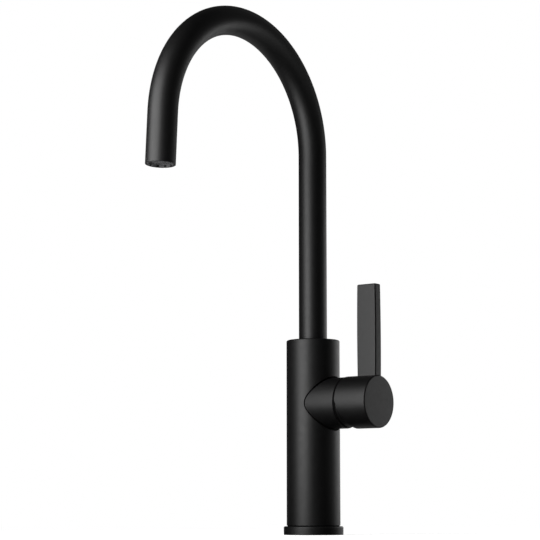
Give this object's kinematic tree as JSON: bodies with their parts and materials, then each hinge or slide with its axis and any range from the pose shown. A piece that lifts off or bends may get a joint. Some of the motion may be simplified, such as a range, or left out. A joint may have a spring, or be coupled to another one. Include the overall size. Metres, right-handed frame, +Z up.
{
  "type": "kitchen tap",
  "caption": "Single-lever kitchen mixer tap in matt black, with a tall swivelling gooseneck spout, an upright round body and a side handle with an upright lever.",
  "frame": {"origin": "centre of the tap's foot, on the worktop", "axes": "+Z up; the spout reaches towards -Y (the user); the handle stands on the +X side"},
  "size_m": [0.1029, 0.2593, 0.4782],
  "materials": {
    "matt_black": "matt black powder coat with a fine satin sheen",
    "raw_brass": "machined, unplated",
    "steel": "bright zinc-plated steel",
    "black_rubber": "moulded rubber",
    "white_plastic": "moulded acetal",
    "grey_plastic": "moulded nylon",
    "dark_plastic": "dark moulded plastic",
    "ceramic": "lapped alumina"
  },
  "bodies": {
    "body": {"base_ring": "matt_black", "base_gasket": "black_rubber", "body_column": "matt_black", "side_collar": "matt_black", "valve_body": "raw_brass", "spout_socket": "raw_brass", "socket_seal": "black_rubber", "spout_stop_screw": "steel", "cartridge_seals": "black_rubber", "cartridge_base": "grey_plastic", "fixed_disc": "ceramic", "cartridge_housing": "white_plastic", "cartridge_nut": "raw_brass", "cartridge_dome": "matt_black", "spout_thrust_ring": "white_plastic"},
    "spout": {"spout_tube": "matt_black", "spout_shank": "raw_brass", "spout_o_rings": "black_rubber", "spout_bearing_rings": "white_plastic", "aerator_shell": "dark_plastic", "aerator_screen": "dark_plastic", "aerator_flow_disc": "white_plastic", "aerator_seal": "black_rubber"},
    "turret": {"stem_turret": "white_plastic", "stem_pin": "steel"},
    "disc": {"moving_disc": "ceramic"},
    "handle": {"handle_stem": "steel", "handle_cap": "matt_black", "handle_lever": "matt_black", "lever_screw": "steel", "handle_grub_screw": "steel"}
  },
  "joints": [
    {"name": "spout_swivel", "type": "hinge", "parent": "body", "child": "spout", "pos_m": [0, 0, 0.181], "axis": [0, 0, 1], "range_deg": [-60, 60]},
    {"name": "temperature_turn", "type": "hinge", "parent": "body", "child": "turret", "pos_m": [0.033, 0, 0.121], "axis": [1, 0, 0], "range_deg": [-50, 50]},
    {"name": "flow_tilt", "type": "hinge", "parent": "turret", "child": "handle", "pos_m": [0.033, 0, 0.121], "axis": [0, 1, 0], "range_deg": [0, 20]},
    {"name": "disc_slide", "type": "slide", "parent": "turret", "child": "disc", "axis": [0, 0, 1], "range_m": [0, 0.0029]}
  ],
  "couplings": [
    {"joint": "disc_slide", "follows": "flow_tilt", "m_per_rad": 0.008238}
  ]
}
